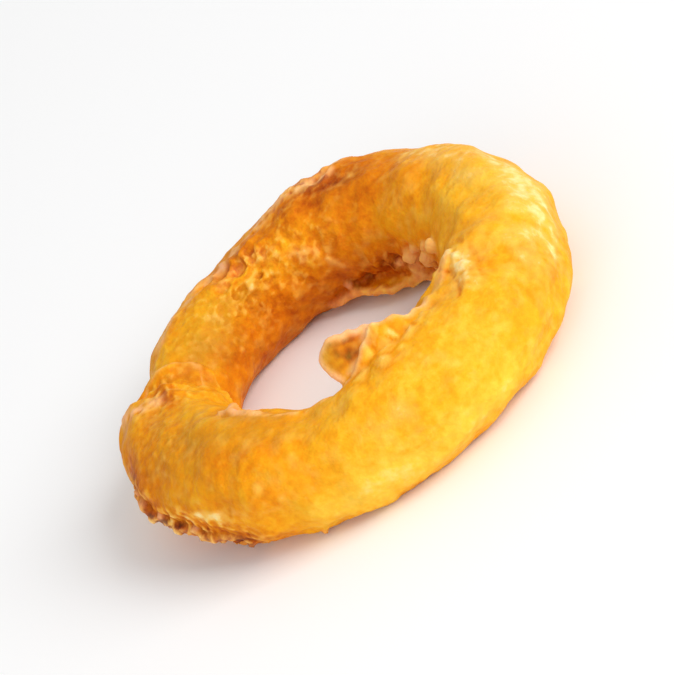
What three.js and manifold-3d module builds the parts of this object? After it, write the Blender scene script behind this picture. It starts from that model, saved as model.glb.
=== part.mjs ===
// A battered, deep-fried onion ring, lying flat.
//
// Millimetres, +Z up. The ring lies on the plane z = 0, with the origin under the middle of its box and its hole
// along Z. A place on the crust is given by two angles in degrees: the azimuth runs round the hole from +X towards
// +Y, and the turn runs round the limb's section, 0 on the outside, 90 on top, 180 in the hole and 270 underneath.

import * as THREE from "three";
import { mergeVertices } from "three/addons/utils/BufferGeometryUtils.js";
import Module from "manifold-3d";

const wasm = await Module();
wasm.setup();

// Driving dimensions.
const OUTER_WIDTH = 75; // across the ring, crust to crust
const LIMB_WIDTH = 19.2; // across the limb, the tube of batter round the onion
const CENTRE_RADIUS = (OUTER_WIDTH - LIMB_WIDTH) / 2; // the limb's centre line
const LIMB_RADIUS = LIMB_WIDTH / 2;
const SQUARENESS = 2.12; // the section's exponent: 2 is round, and the onion slice inside makes it a little squarer
const PRESSED = 0.55; // depth of the flat that the ring lies on

// How the batter's thickness changes round the ring, as [azimuth, added limb radius].
const SWELL = [
  [0, -0.3],
  [28, -0.4],
  [42, -0.6],
  [58, -0.4],
  [75, -0.5],
  [92, -1.2],
  [112, -1.7],
  [130, -1.6],
  [148, -2.5],
  [160, -2.8],
  [168, -1.9],
  [178, -1.3],
  [198, -0.7],
  [214, -0.4],
  [228, -0.6],
  [238, -1.1],
  [247, -1.6],
  [256, -1.3],
  [266, -0.7],
  [278, -0.5],
  [300, -0.35],
  [325, -0.3],
];

// Unevenness of the crust: how high and how far apart.
const LUMP = { height: 0.42, apart: 17 };
const DIMPLE = { height: 0.32, apart: 7.5 };
const CRAG = { height: 0.65, apart: 5.2 };
const UNDERSIDE_CALM = 0.35; // what is left of the unevenness where the ring lies

// Where the batter fried into rough crust: the middle of each patch and how far it reaches.
const CALM_CRUST = 0.12;
const CRUST_PATCHES = [
  { azimuth: 106, turn: 112, reach: [17, 36] },
  { azimuth: 68, turn: 74, reach: [16, 16] },
  { azimuth: 208, turn: -50, reach: [32, 24] },
  { azimuth: 300, turn: 118, reach: [26, 26] },
  { azimuth: 164, turn: 112, reach: [9, 34] },
  { azimuth: 30, turn: 205, reach: [30, 34] },
  { azimuth: 20, turn: -60, reach: [40, 26] },
  { azimuth: 120, turn: -48, reach: [36, 22] },
  { azimuth: 250, turn: 215, reach: [44, 24] },
];

// A lobe of batter laps over the limb and ends in a step across its top, as [turn, azimuth of the step].
const LAP_EDGE = [
  [-60, 178],
  [10, 172],
  [45, 163],
  [76, 155],
  [92, 153],
  [112, 150],
  [130, 148],
  [146, 150],
  [160, 160],
  [172, 170],
  [220, 182],
];
const LAP = { height: 1.35, step: 1.6, rim: 0.45, fade: 46, turns: [-25, 205] };

// Thin fins of batter that stand out from the limb. A fin's root runs from one turn to another along it, and it leans
// on from there. Towards its edge it may sway aside, by an azimuth, and be dished. Heights are [azimuth, height].
const FINS = [
  {
    // a tongue that curls up where the lip round the hole tore
    root: [121, 121],
    lean: -1,
    curl: 20,
    thick: [1.5, 0.8],
    steps: 14,
    sway: -11,
    dish: 1.1,
    heights: [
      [261.6, 0.2],
      [262.3, 2.6],
      [263.2, 4.6],
      [264.6, 5.9],
      [267, 6.7],
      [270, 6.8],
      [273, 6.2],
      [276, 5.3],
      [279, 4.5],
      [284, 3.4],
    ],
  },
  {
    // the thick fold that runs on from it
    root: [114, 114],
    lean: 4,
    curl: 18,
    thick: [4.6, 1.8],
    steps: 26,
    heights: [
      [262, -0.6],
      [266, 0.4],
      [270, 1.1],
      [274, 2],
      [278, 2.9],
      [281, 3.3],
      [284, 3.4],
      [287, 3],
      [290, 2.2],
      [295, 1.1],
      [300, 0.5],
      [306, 0.2],
      [316, 0.4],
      [323, 0.4],
      [332, -0.6],
    ],
  },
  {
    // the crumbling lip before it
    root: [119, 119],
    lean: -3,
    curl: 20,
    thick: [2.6, 0.9],
    steps: 12,
    heights: [
      [205, -0.6],
      [210, 0.6],
      [214, 1.2],
      [219, 0.5],
      [226, 0.6],
      [236, -0.6],
    ],
  },
  {
    // the crisp fringe that runs down the outside of the thick lobe
    root: [14, -32],
    lean: -8,
    curl: -8,
    thick: [2.6, 1],
    steps: 22,
    heights: [
      [183, -0.6],
      [188, 0.6],
      [193, 1.2],
      [197, 0.8],
      [202, 1.3],
      [207, 0.9],
      [213, 1],
      [219, 0.3],
      [226, -0.6],
    ],
  },
  {
    // the skirt low down beside it
    root: [-52, -52],
    lean: 6,
    curl: 12,
    thick: [2.6, 0.8],
    steps: 12,
    heights: [
      [203, -0.6],
      [209, 0.7],
      [215, 0.8],
      [221, 0.4],
      [228, 0.3],
      [236, -0.6],
    ],
  },
  {
    // the frill over the far shoulder
    root: [63, 63],
    lean: 3,
    curl: 14,
    thick: [3.2, 1.5],
    steps: 12,
    heights: [
      [46, -0.6],
      [54, 0.1],
      [62, 0.4],
      [69, 0.3],
      [76, 0.4],
      [84, 0.1],
      [92, -0.6],
    ],
  },
  {
    // the ledge that runs low round the hole
    root: [221, 221],
    lean: -26,
    curl: -18,
    thick: [3.6, 1.1],
    steps: 18,
    heights: [
      [18, -0.6],
      [26, 1.2],
      [36, 2.5],
      [44, 3.4],
      [52, 4.4],
      [60, 4.5],
      [68, 3.6],
      [78, 2],
      [92, -0.6],
    ],
  },
];
const FIN_RISES = 3;
const SWAYED_AT = 7; // the height at which a fin sways by its full azimuth
const FIN_SUNK = 1.4; // how deep a fin's root reaches into the limb

// Crumbs of loose batter that fried on, as [azimuth, turn, radius, lift].
const CRUMBS = [
  [31, 187, 1.25, 0.5],
  [15, 182, 1.15, 0.45],
  [358, 157, 1.1, 0.3],
  [46, 219, 1.1, 0.9],
  [36, 207, 1.15, 0.5],
  [12, 169, 0.8, 0.3],
  [22, 194, 0.9, 0.4],
  [212, 128, 0.95, 0.5],
  [191, 8, 0.75, 0.3],
  [196, -10, 1, 0.3],
  [206, -26, 0.9, 0.2],
  [219, -38, 0.75, 0.2],
  [118, -40, 0.9, 0.3],
  [126, -34, 0.7, 0.3],
  [108, -46, 0.8, 0.3],
  [352, -52, 0.9, 0.3],
  [2, -46, 0.7, 0.3],
  [340, -56, 0.8, 0.3],
];
const CRUMB_SEED = 31;
const CRUMB_UNEVEN = 0.2;

// How finely the limb is faceted.
const STEPS_ROUND_RING = 106;
const STEPS_ROUND_LIMB = 30;

const CRUST_COLOUR = "#e59a2c";
const TABLE_DEPTH = 20;
const TAU = Math.PI * 2;
const radians = THREE.MathUtils.degToRad;
const { lerp, smoothstep } = THREE.MathUtils;

// A seeded draw between 0 and 1, the same on every run.
function draws(seed) {
  const modulus = 2147483647;
  let state = seed;
  return () => {
    state = (state * 16807) % modulus;
    return state / modulus;
  };
}

// The signed way from one angle to another, in degrees, between -180 and 180.
function between(from, to) {
  return ((((to - from) % 360) + 540) % 360) - 180;
}

// A smooth curve through [place, value] knots, held at its end values.
function through(knots) {
  return (place) => {
    const next = knots.findIndex(([at]) => at > place);
    if (next === 0) return knots[0][1];
    if (next < 0) return knots.at(-1)[1];
    const [[before, low], [after, high]] = [knots[next - 1], knots[next]];
    return lerp(low, high, smoothstep(place, before, after));
  };
}

// The same for knots that go all the way round.
function round(knots) {
  const curve = through([...knots, [knots[0][0] + 360, knots[0][1]]]);
  return (angle) => curve(((angle % 360) + 360) % 360);
}

// Unevenness that runs on round the ring and round its limb: a sum of ripples, each with a whole number of crests
// both ways. It lies mostly between -1 and 1.
function unevenness(apart, seed, count = 16) {
  const draw = draws(seed);
  const ripples = Array.from({ length: count }, () => {
    const heading = Math.PI * draw();
    const length = apart * (0.75 + 0.6 * draw());
    return {
      roundRing: Math.round(((TAU * CENTRE_RADIUS) / length) * Math.cos(heading)),
      roundLimb: Math.round(((TAU * LIMB_RADIUS) / length) * Math.sin(heading)),
      phase: TAU * draw(),
    };
  });
  const share = Math.sqrt(0.5 / count);
  return (azimuth, turn) =>
    ripples.reduce(
      (sum, r) => sum + share * Math.cos(r.roundRing * radians(azimuth) + r.roundLimb * radians(turn) + r.phase),
      0,
    );
}

const swell = round(SWELL);
const lumps = unevenness(LUMP.apart, 3376);
const dimples = unevenness(DIMPLE.apart, 12);
const crags = unevenness(CRAG.apart, 13, 24);
const lapEdge = through(LAP_EDGE);

// How rough the crust is at a place, from calm to 1.
function roughness(azimuth, turn) {
  return CRUST_PATCHES.reduce((most, patch) => {
    const across = between(patch.azimuth, azimuth) / patch.reach[0];
    const around = between(patch.turn, turn) / patch.reach[1];
    return Math.max(most, Math.exp(-(across ** 2) - around ** 2));
  }, CALM_CRUST);
}

// The lobe that laps over the limb: a step with a raised rim, fading out behind it.
function lap(azimuth, turn) {
  const side = between(90, turn) + 90;
  const behind = between(lapEdge(side), azimuth);
  if (behind < -20) return 0;
  const [first, last] = LAP.turns;
  const mask = smoothstep(side, first, first + 30) * (1 - smoothstep(side, last - 30, last));
  const reach = radians(behind) * (CENTRE_RADIUS + LIMB_RADIUS * Math.cos(radians(turn)));
  const step = smoothstep(reach, -LAP.step / 2, LAP.step / 2) * (1 - smoothstep(behind, LAP.fade / 4, LAP.fade));
  return mask * (LAP.height * step + LAP.rim * Math.exp(-(((reach - LAP.step) / LAP.step) ** 2)));
}

// How far the crust stands off the smooth limb.
function relief(azimuth, turn) {
  const underneath = Math.max(0, -Math.sin(radians(turn))) ** 4;
  const calm = lerp(1, UNDERSIDE_CALM, underneath);
  const crag = 1 - 2 * Math.abs(crags(azimuth, turn));
  return (
    calm *
      (LUMP.height * lumps(azimuth, turn) +
        DIMPLE.height * dimples(azimuth, turn) +
        CRAG.height * roughness(azimuth, turn) * crag) +
    lap(azimuth, turn)
  );
}

// A direction in the plane of the limb's section: 0 points outwards and 90 up.
function leaning(azimuth, lean) {
  const [a, l] = [radians(azimuth), radians(lean)];
  return new THREE.Vector3(Math.cos(a) * Math.cos(l), Math.sin(a) * Math.cos(l), Math.sin(l));
}

// The place on the crust at an azimuth and a turn, or above it by a lift.
function crustPoint(azimuth, turn, lift = 0) {
  const limbRadius = LIMB_RADIUS + swell(azimuth);
  const [c, s] = [Math.cos(radians(turn)), Math.sin(radians(turn))];
  const square = (Math.abs(c) ** SQUARENESS + Math.abs(s) ** SQUARENESS) ** (-1 / SQUARENESS);
  const out = limbRadius * square + relief(azimuth, turn) + lift;
  const centre = leaning(azimuth, 0).multiplyScalar(CENTRE_RADIUS).setZ(limbRadius - PRESSED);
  return centre.addScaledVector(leaning(azimuth, turn), out);
}

// Moves every corner of a closed geometry by a function of its place, with shared corners merged.
function reshape(geometry, move) {
  geometry.deleteAttribute("normal");
  geometry.deleteAttribute("uv");
  const merged = mergeVertices(geometry, 1e-4);
  const position = merged.getAttribute("position");
  const corner = new THREE.Vector3();
  for (let i = 0; i < position.count; i++) {
    corner.fromBufferAttribute(position, i);
    position.setXYZ(i, ...move(corner).toArray());
  }
  return merged;
}

// The limb with its crust.
function limb() {
  const torus = new THREE.TorusGeometry(CENTRE_RADIUS, LIMB_RADIUS, STEPS_ROUND_LIMB, STEPS_ROUND_RING);
  return reshape(torus, ({ x, y, z }) => {
    const azimuth = THREE.MathUtils.radToDeg(Math.atan2(y, x));
    const turn = THREE.MathUtils.radToDeg(Math.atan2(z, Math.hypot(x, y) - CENTRE_RADIUS));
    return crustPoint(azimuth, turn);
  });
}

// A fin: a slab that runs along the crust, tapers to a thin edge and curls over towards it.
function fin({ root, lean, curl, thick, steps, sway = 0, dish = 0, heights }) {
  const height = through(heights);
  const [first, last] = [heights[0][0], heights.at(-1)[0]];
  const slab = new THREE.BoxGeometry(1, 1, 1, steps, 1, FIN_RISES);
  return reshape(slab, ({ x, y, z }) => {
    const [along, rise] = [x + 0.5, z + 0.5];
    const azimuth = lerp(first, last, along);
    const tall = height(azimuth);
    const turn = lerp(root[0], root[1], along);
    const direction = turn + lean + curl * rise ** 2 * Math.min(1, tall / 3);
    const up = lerp(-FIN_SUNK, tall, rise);
    const hollow = dish * Math.sin(Math.PI * along) * Math.sin(Math.PI * rise) ** 2;
    const aside = y * lerp(thick[0], thick[1], Math.sqrt(rise)) + hollow;
    const swayed = azimuth + sway * Math.max(0, up / SWAYED_AT) * (1 - along);
    return crustPoint(swayed, turn)
      .addScaledVector(leaning(swayed, direction), up)
      .addScaledVector(leaning(swayed, direction + 90), aside);
  });
}

// The crumbs: small uneven balls.
function crumbs() {
  const draw = draws(CRUMB_SEED);
  return CRUMBS.map(([azimuth, turn, radius, lift]) => {
    const place = crustPoint(azimuth, turn, lift);
    return reshape(new THREE.IcosahedronGeometry(radius, 1), (corner) =>
      corner.multiplyScalar(1 + CRUMB_UNEVEN * (2 * draw() - 1)).add(place),
    );
  });
}

// The half space below the surface that the ring lies on.
function table() {
  const block = new THREE.BoxGeometry(2 * OUTER_WIDTH, 2 * OUTER_WIDTH, TABLE_DEPTH);
  return reshape(block, (corner) => corner.setZ(corner.z - TABLE_DEPTH / 2));
}

// A closed geometry as a solid that can be joined and cut.
function solid(geometry) {
  return new wasm.Manifold(
    new wasm.Mesh({
      numProp: 3,
      vertProperties: new Float32Array(geometry.getAttribute("position").array),
      triVerts: new Uint32Array(geometry.index.array),
    }),
  );
}

// A solid as a geometry again.
function geometryOf(made) {
  const { vertProperties, triVerts } = made.getMesh();
  const geometry = new THREE.BufferGeometry();
  geometry.setAttribute("position", new THREE.BufferAttribute(vertProperties, 3));
  geometry.setIndex(new THREE.BufferAttribute(triVerts, 1));
  geometry.computeVertexNormals();
  return geometry;
}

// The limb, its fins and its crumbs fused into one piece and set down on its flat.
function onionRing() {
  const pieces = [...FINS.map(fin), ...crumbs()];
  const fused = pieces.reduce((whole, piece) => whole.add(solid(piece)), solid(limb()));
  const bodies = fused.subtract(solid(table())).decompose();
  const whole = bodies.reduce((largest, body) => (body.volume() > largest.volume() ? body : largest));
  const geometry = geometryOf(whole);
  geometry.computeBoundingBox();
  const middle = geometry.boundingBox.getCenter(new THREE.Vector3());
  return geometry.translate(-middle.x, -middle.y, 0);
}

const ring = new THREE.Mesh(
  onionRing(),
  new THREE.MeshStandardMaterial({ color: CRUST_COLOUR, roughness: 0.55, metalness: 0 }),
);
ring.name = "onion_ring";

const group = new THREE.Group();
group.add(ring);

export default group;
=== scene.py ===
"""A battered onion ring, deep-fried to gold, lying flat on a pale table.

The crust is one closed skin. It starts as a limb bent round a hole, takes its lumps, its lapping lobe and its torn
lip, is fused with its fins and crumbs, and is then blistered and creased at the scale that frying leaves. A place on
the crust is given by an azimuth round the hole, from +X towards +Y, and a turn round the limb's section, 0 on the
outside, 90 on top, 180 in the hole and 270 underneath. Angles are in degrees and lengths in millimetres until the
finished mesh is scaled to metres.
"""

import itertools
import logging
import math
from collections.abc import Callable
from dataclasses import dataclass
from enum import Enum

import bmesh
import bpy
import numpy as np
from mathutils import Matrix, Quaternion, Vector
from mathutils.kdtree import KDTree


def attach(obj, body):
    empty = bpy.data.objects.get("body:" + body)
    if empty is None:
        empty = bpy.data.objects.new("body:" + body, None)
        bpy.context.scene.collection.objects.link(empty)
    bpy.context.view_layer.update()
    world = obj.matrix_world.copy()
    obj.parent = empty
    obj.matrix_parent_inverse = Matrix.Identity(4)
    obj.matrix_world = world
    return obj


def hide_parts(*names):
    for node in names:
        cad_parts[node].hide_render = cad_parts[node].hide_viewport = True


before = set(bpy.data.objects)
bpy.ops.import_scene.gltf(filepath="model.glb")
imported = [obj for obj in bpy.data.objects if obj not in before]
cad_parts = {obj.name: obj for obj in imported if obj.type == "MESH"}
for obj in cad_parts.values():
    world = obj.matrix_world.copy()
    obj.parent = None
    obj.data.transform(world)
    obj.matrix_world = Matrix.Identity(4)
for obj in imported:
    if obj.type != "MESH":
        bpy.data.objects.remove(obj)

log = logging.getLogger("onion_ring")

MM = 0.001
TAU = 2 * math.pi
DRAW_FACTOR = 16807
DRAW_SPAN = 2**31 - 1
Array = np.ndarray
Pair = tuple[float, float]
Knotted = tuple[Pair, ...]


def draws(seed: int) -> Callable[[], float]:
    """Draw numbers between 0 and 1, the same on every run.

    Args:
        seed: A whole number to start from.

    Returns:
        A function that gives the next number each time it is called.
    """
    state = seed

    def draw() -> float:
        """Draw once.

        Returns:
            The next number.
        """
        nonlocal state
        state = (state * DRAW_FACTOR) % DRAW_SPAN
        return state / DRAW_SPAN

    return draw


def smooth(value: Array, low: float, high: float) -> Array:
    """Rise smoothly from 0 at a low value to 1 at a high one.

    Args:
        value: Where to look.
        low: Where the rise starts.
        high: Where it ends.

    Returns:
        The risen share at each value.
    """
    t = np.clip((value - low) / (high - low), 0, 1)
    return t * t * (3 - 2 * t)


def hump(value: Array, width: float, middle: float = 0.0) -> Array:
    """Give 1 at a middle value, falling away smoothly over a width on both sides of it."""
    return np.exp(-(((value - middle) / width) ** 2))


def between(start: float, end: Array) -> Array:
    """Give the signed way from one angle to others, from -180 to 180 degrees."""
    return (end - start + 180) % 360 - 180


def through(knots: Knotted, place: Array) -> Array:
    """Follow a smooth curve through knots, held at its end values.

    Args:
        knots: Places and the values there.
        place: Where to read the curve.

    Returns:
        The curve's value at each place.
    """
    at, value = np.array(knots).T
    after = np.clip(np.searchsorted(at, place, side="right"), 1, len(at) - 1)
    before = after - 1
    t = np.clip((place - at[before]) / (at[after] - at[before]), 0, 1)
    return value[before] + (value[after] - value[before]) * t * t * (3 - 2 * t)


@dataclass(frozen=True)
class Grain:
    """Seeded noise through space, the same on every run."""

    seed: int

    STRIDES = (73856093, 19349663, 83492791, 40503)
    MIXERS = (2246822519, 3266489917)
    WORD = 0x7FFFFFFF
    LEVELS = 0x100000
    SHIFTED = 4096

    def draw(self, cell: Array, channel: int) -> Array:
        """Draw a number from 0 to 1 for each whole-numbered cell of space.

        Args:
            cell: One row of whole numbers for each place.
            channel: Which of a cell's numbers to draw.

        Returns:
            The numbers.
        """
        x, y, z = (cell.astype(np.int64) + self.SHIFTED).T
        a, b, c, d = self.STRIDES
        mixed = (x * a) ^ (y * b) ^ (z * c) ^ ((self.seed * 31 + channel) * d)
        for mixer in self.MIXERS:
            mixed = ((mixed ^ (mixed >> 15)) & self.WORD) * mixer & self.WORD
        return ((mixed ^ (mixed >> 13)) & (self.LEVELS - 1)) / self.LEVELS

    def at(self, points: Array, apart: float) -> Array:
        """Read smooth noise, mostly between -1 and 1.

        Args:
            points: One row of coordinates for each place.
            apart: About how far apart its swells lie.

        Returns:
            The noise at each place.
        """
        scaled = points / apart
        cell = np.floor(scaled)
        part = scaled - cell
        ease = part**3 * (part * (part * 6 - 15) + 10)
        total = np.zeros(len(points))
        for corner in itertools.product((0, 1), repeat=3):
            step = np.array(corner)
            slope = np.stack([2 * self.draw(cell + step, c) - 1 for c in range(3)], axis=-1)
            total += np.prod(np.where(step == 1, ease, 1 - ease), axis=-1) * ((part - step) * slope).sum(axis=-1)
        return 1.6 * total

    def cells(self, points: Array, apart: float) -> tuple[Array, Array, Array]:
        """Measure how far places are from the nearest of scattered seeds.

        Args:
            points: One row of coordinates for each place.
            apart: About how far apart the seeds lie.

        Returns:
            The ways to the nearest seed and to the next, and the nearest one's own number from 0 to 1.
        """
        scaled = points / apart
        cell = np.floor(scaled)
        first, second = np.full((2, len(points)), 9.0)
        own = np.zeros(len(points))
        for step in itertools.product((-1, 0, 1), repeat=3):
            there = cell + np.array(step)
            seed = there + np.stack([self.draw(there, c) for c in range(3)], axis=-1)
            away = np.linalg.norm(scaled - seed, axis=-1)
            closer = away < first
            second = np.where(closer, first, np.minimum(second, away))
            own = np.where(closer, self.draw(there, 3), own)
            first = np.where(closer, away, first)
        return first * apart, second * apart, own


class Noise(Enum):
    """The noises of the crust: the number each is drawn from, and how far apart its swells or seeds lie."""

    TATTER = (5, 1.0)
    CRINKLE = (6, 1.5)
    FLOW = (41, 3.6)
    VEIN = (51, 1.6)
    CLOT = (52, 1.25)
    BEAD = (53, 1.7)
    SPOT = (54, 3.4)
    SWELL = (55, 4.2)
    SMALL = (56, 1.4)
    FINE = (57, 0.8)
    FRINGE = (58, 1.1)
    PLEAT = (59, 2.5)
    SOFT = (61, 2.4)
    LAP = (62, 2.0)
    UNEVEN = (63, 1.3)
    GRIT = (64, 1.25)

    def at(self, points: Array, shift: int = 0) -> Array:
        """Read the smooth noise at places, or that of a number further on by a shift."""
        seed, apart = self.value
        return Grain(seed + shift).at(points, apart)

    def cells(self, points: Array) -> tuple[Array, Array, Array]:
        """Measure how far places are from the noise's scattered seeds."""
        seed, apart = self.value
        return Grain(seed).cells(points, apart)


@dataclass(frozen=True)
class Ripples:
    """Unevenness that closes on itself both round the ring and round its limb.

    It is a sum of ripples, each with a whole number of crests both ways, and lies mostly between -1 and 1.
    """

    apart: float
    seed: int
    ring_length: float
    limb_length: float
    count: int = 16

    def at(self, azimuth: Array, turn: Array) -> Array:
        """Read the unevenness.

        Args:
            azimuth: Angles round the hole.
            turn: Angles round the limb.

        Returns:
            The unevenness at each place.
        """
        draw = draws(self.seed)
        total = np.zeros(len(azimuth))
        for _ in range(self.count):
            heading = math.pi * draw()
            length = self.apart * (0.75 + 0.6 * draw())
            round_ring = math.floor(self.ring_length / length * math.cos(heading) + 0.5)
            round_limb = math.floor(self.limb_length / length * math.sin(heading) + 0.5)
            total += np.cos(round_ring * np.radians(azimuth) + round_limb * np.radians(turn) + TAU * draw())
        return total * math.sqrt(0.5 / self.count)


@dataclass(frozen=True)
class Patch:
    """A patch of crust: the middle of it and how far it reaches each way."""

    azimuth: float
    turn: float
    reach: Pair
    strength: float = 1.0

    def at(self, azimuth: Array, turn: Array) -> Array:
        """Give how strongly the patch is felt.

        Args:
            azimuth: Angles round the hole.
            turn: Angles round the limb.

        Returns:
            The strength at each place.
        """
        across = between(self.azimuth, azimuth) / self.reach[0]
        around = between(self.turn, turn) / self.reach[1]
        return self.strength * np.exp(-(across**2) - around**2)


def patches(*rows: tuple[float, ...]) -> tuple[Patch, ...]:
    """Make patches from rows of an azimuth, a turn, the reach each way and a strength, which may be left out."""
    return tuple(Patch(azimuth, turn, (along, around), *strength) for azimuth, turn, along, around, *strength in rows)


def felt(many: tuple[Patch, ...], azimuth: Array, turn: Array) -> Array:
    """Give how strongly the strongest of some patches is felt at each place."""
    return np.max([patch.at(azimuth, turn) for patch in many], axis=0)


@dataclass(frozen=True)
class Mark:
    """One fold, blister or pit of the crust: where it is, its half lengths in millimetres, its height and heading."""

    azimuth: float
    turn: float
    size: Pair
    height: float
    heading: float = 0.0

    def at(self, azimuth: Array, turn: Array, shape: "CrustShape") -> Array:
        """Give how far the mark raises each place.

        Args:
            azimuth: Angles round the hole.
            turn: Angles round the limb.
            shape: The crust it is on.

        Returns:
            The heights in millimetres.
        """
        girth = shape.centre_radius + shape.limb_radius * math.cos(math.radians(self.turn))
        along = np.radians(between(self.azimuth, azimuth)) * girth
        around = np.radians(between(self.turn, turn)) * shape.limb_radius
        c, s = math.cos(math.radians(self.heading)), math.sin(math.radians(self.heading))
        far = ((c * along + s * around) / self.size[0]) ** 2 + ((c * around - s * along) / self.size[1]) ** 2
        return self.height * np.exp(-far)


@dataclass(frozen=True)
class Streak:
    """A line of batter drawn along the crust through azimuths and turns: a ridge, a crease or a pale edge, some
    carrying a painted highlight and the creases painted shade.
    """

    path: Knotted
    width: float
    height: float = 0.0
    pale: float = 0.0
    rosy: float = 0.0
    browning_and_painted_light: float = 0.0


@dataclass(frozen=True)
class Fin:
    """A thin fin of batter that stands out from the limb.

    Its root runs from one turn to another, and it leans on from there. Towards its edge it sways aside by some
    degrees of azimuth. A dished fin is hollow in its middle and has a bead along its edge. The rim says how pale the
    edge is painted, and how wide that is: its own paler thin crust with a painted rim highlight on it.
    """

    root: Pair
    lean: float
    curl: float
    thick: Pair
    heights: Knotted
    tatter: float = 0.0
    crinkle: float = 0.25
    sway: float = 0.0
    dish: float = 0.0
    rim: float = 0.3
    rim_width: float = 0.4

    PER_DEGREE = 0.45
    FULL_CURL_HEIGHT = 3
    FULL_SWAY_HEIGHT = 7
    CRINKLE_RISE = 3.5
    BEAD_THICK, BEAD_RISE, BEAD_WIDTH = 0.3, 0.95, 0.06

    @property
    def ends(self) -> Pair:
        """The azimuths that it runs between."""
        return self.heights[0][0], self.heights[-1][0]

    def height(self, azimuth: Array) -> Array:
        """Give the fin's height.

        Args:
            azimuth: Angles round the hole.

        Returns:
            The height there, with its tatters.
        """
        height = through(self.heights, azimuth)
        tatter = Noise.TATTER.at(self.spread(azimuth, 0 * azimuth))
        return height + self.tatter * tatter * np.clip(height, 0, 2)

    def spread(self, azimuth: Array, rise: Array) -> Array:
        """Lay the fin out flat, for noise to be read on it."""
        return np.stack([azimuth * self.PER_DEGREE, np.full_like(azimuth, self.root[0]), rise], axis=-1)

    def aside(self, along: Array, rise: Array, across: Array) -> Array:
        """Work out how far places lie aside of the fin's middle.

        Args:
            along: Shares of the way along it.
            rise: Shares of the way from its sunk root to its edge.
            across: Shares of its thickness, from -0.5 to 0.5.

        Returns:
            The way aside in millimetres, with its crinkles and its hollow.
        """
        first, last = self.ends
        azimuth = first + (last - first) * along
        crinkle = Noise.CRINKLE.at(self.spread(azimuth, self.CRINKLE_RISE * rise))
        bead = self.BEAD_THICK * hump(rise, self.BEAD_WIDTH, self.BEAD_RISE) if self.dish else 0.0
        thick = self.thick[0] + (self.thick[1] - self.thick[0]) * np.sqrt(rise) + bead
        hollow = self.dish * np.sin(math.pi * along) * np.sin(math.pi * rise) ** 2
        return across * thick + (self.crinkle * crinkle * rise + hollow)


@dataclass(frozen=True)
class Crumb:
    """A crumb of loose batter that fried on: where it is, its radius, how far it is lifted and its colouring."""

    azimuth: float
    turn: float
    radius: float
    lift: float = 0.2
    browning_and_painted_light: float = 0.0
    rosy: float = 0.5


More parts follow.
